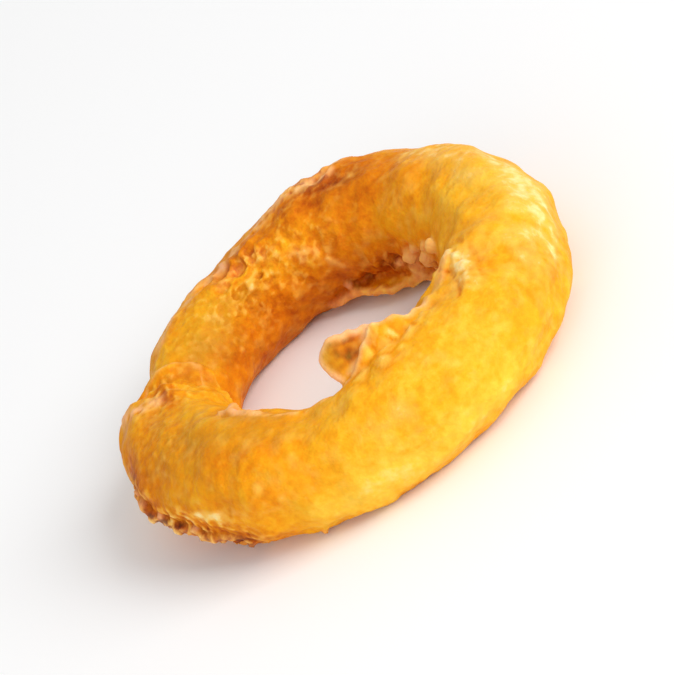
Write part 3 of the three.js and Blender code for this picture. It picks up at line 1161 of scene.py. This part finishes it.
    def fused(self) -> bpy.types.Mesh:
        """Fuse the limb, its fins and its crumbs into one closed skin.

        Returns:
            Its mesh.
        """
        parts = [self.limb()] + [self.fin(fin) for fin in self.FINS]
        parts += [self.crumb(index, crumb) for index, crumb in enumerate(self.CRUMBS)]
        shape = bmesh.new()
        for part in parts:
            shape.from_mesh(part)
            bpy.data.meshes.remove(part)
        mesh = as_mesh(shape, "crust")
        mesh = modified(mesh, "REMESH", mode="VOXEL", voxel_size=self.voxel, use_smooth_shade=True)
        mesh = modified(mesh, "SMOOTH", factor=0.5, iterations=3)
        points = self.snapped(coordinates(mesh))
        azimuth, turn = self.angles(points, self.shape.limb_radius - self.shape.pressed)
        soft = felt(self.SOFTENED, azimuth, turn)[:, None]
        place(mesh, points + (self.settled(mesh, points, self.soften_rounds) - points) * soft)
        return mesh

    def snapped(self, points: Array) -> Array:
        """Lay corners that fusing left close to the plain crust exactly on it, so that no steps are left there.

        Args:
            points: The corners' places.

        Returns:
            Their new places.
        """
        plain = self.shape.point(*self.angles(points, self.radius(points) - self.shape.pressed))
        away = np.linalg.norm(points - plain, axis=-1)
        return points + (plain - points) * (1 - smooth(away, *self.snap))[:, None]

    def radius(self, points: Array) -> Array:
        """Give the plain limb's radius at places."""
        return self.shape.limb_radius + self.shape.swell(np.degrees(np.arctan2(points[:, 1], points[:, 0])))

    def standing(self, points: Array) -> Array:
        """Measure how far places stand off the plain limb.

        Args:
            points: Places on the crust.

        Returns:
            The way off it in millimetres.
        """
        radius = self.radius(points)
        girth = np.hypot(points[:, 0], points[:, 1]) - self.shape.centre_radius
        return np.hypot(girth, points[:, 2] - (radius - self.shape.pressed)) - radius

    @staticmethod
    def normals(mesh: bpy.types.Mesh) -> Array:
        """Read the way out at each of a mesh's corners.

        Args:
            mesh: The mesh.

        Returns:
            One unit row for each corner.
        """
        flat = np.empty(3 * len(mesh.vertices), dtype=np.float32)
        mesh.vertex_normals.foreach_get("vector", flat)
        return flat.reshape(-1, 3).astype(float)

    @staticmethod
    def settled(mesh: bpy.types.Mesh, points: Array, rounds: int, stay: float = 0.4) -> Array:
        """Relax points towards their neighbours on a mesh, as if the crust were smoothed.

        Args:
            mesh: The mesh that says which corners are neighbours.
            points: One row for each corner.
            rounds: How many times to relax.
            stay: The share of its own row that each keeps every time.

        Returns:
            The relaxed rows.
        """
        pairs = np.empty(2 * len(mesh.edges), dtype=np.int32)
        mesh.edges.foreach_get("vertices", pairs)
        one, other = pairs.reshape(-1, 2).T
        near = np.concatenate([one, other])
        far = np.concatenate([other, one])
        count = np.bincount(near, minlength=len(points))
        rest = points.copy()
        for _ in range(rounds):
            for axis in range(rest.shape[1]):
                mean = np.bincount(near, weights=rest[far, axis], minlength=len(points)) / np.maximum(count, 1)
                rest[:, axis] = stay * rest[:, axis] + (1 - stay) * mean
        return rest

    def look(self, points: Array, azimuth: Array, turn: Array, off: Array) -> Look:
        """Work out the fine relief and the colouring.

        Args:
            points: Places on the crust.
            azimuth: Their azimuths.
            turn: Their turns.
            off: How far each stands off the limb, from 0 to 1.

        Returns:
            What each corner is given.
        """
        raised, pale, browned = self.frying.fried(points, azimuth, turn, self.shape)
        soft = Noise.SOFT.at(points)
        hue = self.colouring
        rim, shade = hue.lapped(points, azimuth, turn, self.shape)
        # The fins' edges get a painted rim highlight, pale and rosy, over their own thin paler crust.
        rim_highlights = self.rim_highlights(points) * (hue.rim_soft[0] + hue.rim_soft[1] * soft)
        pale += hue.rim_pale * rim + hue.rim_pale * rim_highlights
        look = Look(raised, pale, hue.lap_rosy * rim + rim_highlights, hue.browning_and_painted_light_at(azimuth, turn) + browned + shade)
        uneven = hue.streaky[0] + hue.streaky[1] * Noise.UNEVEN.at(points)
        for streak in self.STREAKS:
            look.add(self.beside(streak, points), uneven, streak)
        for patch in hue.PALE:
            look.pale += patch.at(azimuth, turn) * (hue.patchy[0] + hue.patchy[1] * soft)
        ragged = 1 + hue.ragged * Noise.FRINGE.at(points)
        for fringe in hue.FRINGES:
            look.browning_and_painted_light += fringe.at(azimuth, turn) * off * ragged
        for crumb in self.CRUMBS:
            away = np.linalg.norm(points - self.middle(crumb), axis=-1)
            near = np.exp(-((away / (hue.crumb_reach * crumb.radius)) ** 4))
            look.browning_and_painted_light += crumb.browning_and_painted_light * near
            look.rosy += crumb.rosy * near
        return look

    def built(self) -> bpy.types.Object:
        """Build the crust, with what its colour follows kept on it, and hang it in the scene.

        Returns:
            The crust's object, in metres and at the origin.
        """
        mesh = self.fused()
        points = coordinates(mesh)
        middle = (points.min(axis=0) + points.max(axis=0)) / 2
        azimuth, turn = self.angles(points, self.shape.limb_radius - self.shape.pressed)
        base = self.settled(mesh, points, self.base_rounds)
        off = smooth(self.standing(points), *self.off_limb)
        look = self.look(points, azimuth, turn, off)
        points = points + self.normals(mesh) * look.raised[:, None]
        points[:, 2] = np.maximum(points[:, 2], 0)
        place(mesh, points)
        broad = ((points - base) * self.normals(mesh)).sum(axis=1)
        fine = look.raised - self.settled(mesh, look.raised[:, None], self.edge_rounds)[:, 0]
        self.keep(mesh, "crisp", self.frying.crisp(azimuth, turn), 0, 1)
        # The finish paints rises paler and hollows darker from proud and edge: partly the crests' own paler crust,
        # partly painted highlight and painted shade.
        self.keep(mesh, "proud", broad / self.proud_height, -1, 1)
        self.keep(mesh, "edge", fine / self.edge_height, -1, 1)
        self.keep(mesh, "pale", look.pale, -1, 1)
        self.keep(mesh, "rosy", look.rosy, 0, 1)
        self.keep(mesh, "olive", self.colouring.olive(azimuth, turn, off), 0, 1)
        self.keep(mesh, "browning_and_painted_light", look.browning_and_painted_light, 0, self.darkest)
        place(mesh, (points - [middle[0], middle[1], 0]) * MM)
        for face in mesh.polygons:
            face.use_smooth = True
        piece = bpy.data.objects.new("crust", mesh)
        bpy.context.scene.collection.objects.link(piece)
        return piece

    @staticmethod
    def keep(mesh: bpy.types.Mesh, name: str, values: Array, low: float, high: float) -> None:
        """Keep a number at each of a mesh's corners, for its finish to read.

        Args:
            mesh: The mesh.
            name: The attribute's name.
            values: One number for each corner.
            low: The least that it may be.
            high: The most that it may be.
        """
        attribute = mesh.attributes.new(name, "FLOAT", "POINT")
        attribute.data.foreach_set("value", np.clip(values, low, high).astype(np.float32))



def linear(code: str) -> tuple[float, float, float, float]:
    """Turn a colour code into what shaders take.

    Args:
        code: The code, six hexadecimal digits after a #.

    Returns:
        Linear red, green, blue and alpha.
    """
    parts = [int(code[i : i + 2], 16) / 255 for i in (1, 3, 5)]
    shares = [p / 12.92 if p <= 0.04045 else ((p + 0.055) / 1.055) ** 2.4 for p in parts]
    return shares[0], shares[1], shares[2], 1.0


class Mottle(Enum):
    """The mottles of the finish: how fine each is, how many levels of detail it has and how rough those are."""

    BROAD = (85, 2, 0.5)
    PATCHY = (260, 2, 0.6)
    FINE = (800, 3, 0.6)
    FLECK = (640, 3, 0.7)
    PALE = (330, 2, 0.6)
    CREAM = (950, 2, 0.65)
    OLIVE = (340, 3, 0.6)
    ROSY = (460, 2, 0.6)
    GLOSS = (420, 2, 0.5)
    BUMP = (720, 2, 0.6)
    GRAIN = (1500, 1, 0.6)


@dataclass(frozen=True)
class FriedBatter:
    """The finish of deep-fried batter: golden, mottled, paler where it stands proud and darker in its hollows, partly
    as painted highlight and painted shade, and faintly oily.

    A pair is what multiplies a number and what is added to it.
    """

    shades: tuple[tuple[float, str], ...] = (
        (0.00, "#fbdc80"),
        (0.18, "#f8c63e"),
        (0.36, "#f3ab1c"),
        (0.50, "#ea930e"),
        (0.64, "#d87808"),
        (0.78, "#ba5805"),
        (0.90, "#903603"),
        (1.00, "#5e1e02"),
    )
    crest: str = "#f9c45e"
    cream: str = "#fbe19e"
    rosy: str = "#fbb984"
    olive: str = "#bd8d20"
    crisp_fine: Pair = (0.9, 0.75)
    crisp_bump: Pair = (0.6, 0.6)
    fleck_share: Pair = (3.2, -0.38)
    cream_share: Pair = (1.3, -0.72)
    cream_spread: float = 2.1
    grain_bump: float = 0.26
    roughness: Pair = (0.5, 0.52)
    ior: float = 1.26
    specular: float = 0.2
    sheen: float = 0.07
    sheen_roughness: float = 0.25
    sheen_tint: str = "#ffae66"
    scatter: float = 0.12
    scatter_radius: tuple[float, float, float] = (1.0, 0.42, 0.14)
    scatter_scale: float = 0.0015
    coat: float = 0.02
    coat_roughness: float = 0.3
    bump: float = 0.65
    bump_height: float = 0.0006

    def material(self) -> bpy.types.Material:
        """Make the material.

        Returns:
            The finished material.
        """
        made = bpy.data.materials.new("fried_batter")
        made.use_nodes = True
        tree = made.node_tree
        shader = tree.nodes["Principled BSDF"]
        where = tree.nodes.new("ShaderNodeTexCoord").outputs["Object"]

        def mottle(kind: Mottle) -> bpy.types.NodeSocket:
            """Add noise over the crust.

            Args:
                kind: Which mottle it is.

            Returns:
                The noise, centred on nought.
            """
            node = tree.nodes.new("ShaderNodeTexNoise")
            for name, value in zip(("Scale", "Detail", "Roughness"), kind.value):
                node.inputs[name].default_value = value
            tree.links.new(where, node.inputs["Vector"])
            return sums("SUBTRACT", node.outputs["Fac"], 0.5)

        def sums(kind: str, *values: bpy.types.NodeSocket | float, clamp: bool = False) -> bpy.types.NodeSocket:
            """Add one step of arithmetic.

            Args:
                kind: Which step.
                *values: What it takes.
                clamp: Whether to hold the result between 0 and 1.

            Returns:
                The result.
            """
            node = tree.nodes.new("ShaderNodeMath")
            node.operation = kind
            node.use_clamp = clamp
            for socket, value in zip(node.inputs, values):
                if isinstance(value, (int, float)):
                    socket.default_value = value
                else:
                    tree.links.new(value, socket)
            return node.outputs[0]

        def blend(under: bpy.types.NodeSocket, code: str, share: bpy.types.NodeSocket) -> bpy.types.NodeSocket:
            """Mix one colour over others.

            Args:
                under: The colours under it.
                code: The colour's code.
                share: How much of it there is.

            Returns:
                The mixed colours.
            """
            node = tree.nodes.new("ShaderNodeMix")
            node.data_type = "RGBA"
            node.inputs[7].default_value = linear(code)
            tree.links.new(share, node.inputs[0])
            tree.links.new(under, node.inputs[6])
            return node.outputs[2]

        def kept(name: str) -> bpy.types.NodeSocket:
            """Read a number kept on the crust.

            Args:
                name: The attribute's name.

            Returns:
                The number.
            """
            node = tree.nodes.new("ShaderNodeAttribute")
            node.attribute_name = name
            return node.outputs["Fac"]

        crisp = kept("crisp")
        browning_and_painted_light = kept("browning_and_painted_light")
        fine = sums("MULTIPLY", mottle(Mottle.FINE), sums("MULTIPLY_ADD", crisp, *self.crisp_fine))
        for value, share in (
            (mottle(Mottle.BROAD), 0.24),
            (mottle(Mottle.PATCHY), 0.34),
            (fine, 0.36),
            # Rises lighter and hollows darker: partly painted highlight and painted shade following the relief.
            (kept("proud"), -0.08),
            (kept("edge"), -0.10),
        ):
            browning_and_painted_light = sums("MULTIPLY_ADD", value, share, browning_and_painted_light)
        ramp = tree.nodes.new("ShaderNodeValToRGB")
        elements = ramp.color_ramp.elements
        while len(elements) < len(self.shades):
            elements.new(0.5)
        for element, (at, code) in zip(elements, self.shades):
            element.position = at
            element.color = linear(code)
        tree.links.new(browning_and_painted_light, ramp.inputs["Fac"])

        fleck = sums("MULTIPLY_ADD", mottle(Mottle.FLECK), *self.fleck_share, clamp=True)
        # Fine rises paler still: partly a painted highlight.
        pale = sums("MULTIPLY_ADD", kept("edge"), 0.22, kept("pale"))
        pale = sums("MULTIPLY_ADD", mottle(Mottle.PALE), 0.9, pale)
        spread = mottle(Mottle.CREAM)
        creamy = sums("MULTIPLY_ADD", pale, *self.cream_share)
        creamy = sums("MULTIPLY_ADD", spread, self.cream_spread, creamy, clamp=True)
        pale = sums("MULTIPLY_ADD", fleck, 0.4, pale, clamp=True)
        olive = sums("MULTIPLY_ADD", mottle(Mottle.OLIVE), 1.3, kept("olive"), clamp=True)
        colour = blend(ramp.outputs["Color"], self.olive, sums("MULTIPLY", olive, 0.75))
        colour = blend(colour, self.crest, pale)
        colour = blend(colour, self.cream, sums("MULTIPLY", creamy, 0.8))
        rosy = sums("MULTIPLY", kept("rosy"), sums("ADD", mottle(Mottle.ROSY), 1.0), clamp=True)
        colour = blend(colour, self.rosy, rosy)
        tree.links.new(colour, shader.inputs["Base Color"])

        rough = sums("MULTIPLY_ADD", mottle(Mottle.GLOSS), *self.roughness)
        tree.links.new(rough, shader.inputs["Roughness"])
        for name, value in (
            ("IOR", self.ior),
            ("Specular IOR Level", self.specular),
            ("Sheen Weight", self.sheen),
            ("Sheen Roughness", self.sheen_roughness),
            ("Sheen Tint", linear(self.sheen_tint)),
            ("Subsurface Weight", self.scatter),
            ("Subsurface Radius", self.scatter_radius),
            ("Subsurface Scale", self.scatter_scale),
            ("Coat Weight", self.coat),
            ("Coat Roughness", self.coat_roughness),
        ):
            shader.inputs[name].default_value = value

        height = sums("MULTIPLY", mottle(Mottle.BUMP), sums("MULTIPLY_ADD", crisp, *self.crisp_bump))
        height = sums("MULTIPLY_ADD", mottle(Mottle.GRAIN), self.grain_bump, height)
        bump = tree.nodes.new("ShaderNodeBump")
        bump.inputs["Strength"].default_value = self.bump
        bump.inputs["Distance"].default_value = self.bump_height
        tree.links.new(height, bump.inputs["Height"])
        tree.links.new(bump.outputs["Normal"], shader.inputs["Normal"])
        return made


class Side(Enum):
    """Where a light stands, as the way right, up and towards the camera."""

    KEY = (0.45, 0.75, 0.75)
    FILL = (-0.2, -0.4, 0.9)


@dataclass
class Studio:
    """A pale floor, soft white light and the camera. A light's two numbers are its power and its width."""

    elevation: float = 30.0
    roll: float = 36.0
    lens: float = 200.0
    distance: float = 0.553
    look_at: tuple[float, float, float] = (0.0, 0.0, 0.009)
    floor_size: float = 3.0
    floor_shade: float = 0.95
    floor_roughness: float = 0.7
    key: Pair = (19.6, 1.0)
    fill: Pair = (8.0, 1.4)
    sky: float = 0.60

    def floor(self) -> None:
        """Lay the pale floor."""
        shape = bmesh.new()
        bmesh.ops.create_grid(shape, x_segments=1, y_segments=1, size=self.floor_size)
        mesh = as_mesh(shape, "table")
        ground = bpy.data.objects.new("table", mesh)
        bpy.context.scene.collection.objects.link(ground)
        white = bpy.data.materials.new("white_table")
        white.use_nodes = True
        shader = white.node_tree.nodes["Principled BSDF"]
        shader.inputs["Base Color"].default_value = (self.floor_shade, self.floor_shade, self.floor_shade, 1)
        shader.inputs["Roughness"].default_value = self.floor_roughness
        mesh.materials.append(white)

    def camera(self) -> Quaternion:
        """Stand the camera in its place.

        Returns:
            The camera's turn.
        """
        raised = math.radians(self.elevation)
        back = Vector((0, -math.cos(raised), math.sin(raised)))
        turn = (-back).to_track_quat("-Z", "Y") @ Quaternion((0, 0, 1), -math.radians(self.roll))
        data = bpy.data.cameras.new("camera")
        data.lens = self.lens
        data.clip_start, data.clip_end = 0.01, 20
        eye = bpy.data.objects.new("camera", data)
        eye.rotation_mode = "QUATERNION"
        eye.rotation_quaternion = turn
        eye.location = Vector(self.look_at) + back * self.distance
        bpy.context.scene.collection.objects.link(eye)
        bpy.context.scene.camera = eye
        return turn

    def light(self, side: Side, turn: Quaternion, power: float, size: float, away: float = 1.6) -> None:
        """Hang one soft square light.

        Args:
            side: Where it stands.
            turn: The camera's turn.
            power: Its power in watts.
            size: How wide it is, in metres.
            away: How far off, in metres.
        """
        data = bpy.data.lights.new(side.name.lower(), "AREA")
        data.energy, data.size = power, size
        towards = turn @ Vector(side.value).normalized()
        lamp = bpy.data.objects.new(data.name, data)
        lamp.location = Vector(self.look_at) + towards * away
        lamp.rotation_mode = "QUATERNION"
        lamp.rotation_quaternion = towards.to_track_quat("Z", "Y")
        bpy.context.scene.collection.objects.link(lamp)

    def build(self) -> None:
        """Set up the whole studio."""
        self.floor()
        turn = self.camera()
        self.light(Side.KEY, turn, *self.key)
        self.light(Side.FILL, turn, *self.fill)
        scene = bpy.context.scene
        sky = bpy.data.worlds.new("studio")
        sky.use_nodes = True
        backdrop = sky.node_tree.nodes["Background"]
        backdrop.inputs["Color"].default_value = (1, 1, 1, 1)
        backdrop.inputs["Strength"].default_value = self.sky
        scene.world = sky
        scene.view_settings.view_transform = "Standard"


def main() -> None:
    """Build the ring and its studio, and note the sizes."""
    logging.basicConfig(level=logging.INFO)
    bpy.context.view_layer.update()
    ring = OnionRing()
    crust = ring.built()
    log.info("crust: %d corners, %d faces", len(crust.data.vertices), len(crust.data.polygons))
    crust.data.materials.append(FriedBatter().material())
    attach(crust, "root")
    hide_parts(ring.node)
    Studio().build()
    log.info("studio: floor, lights and camera")


if __name__ == "__main__":
    main()
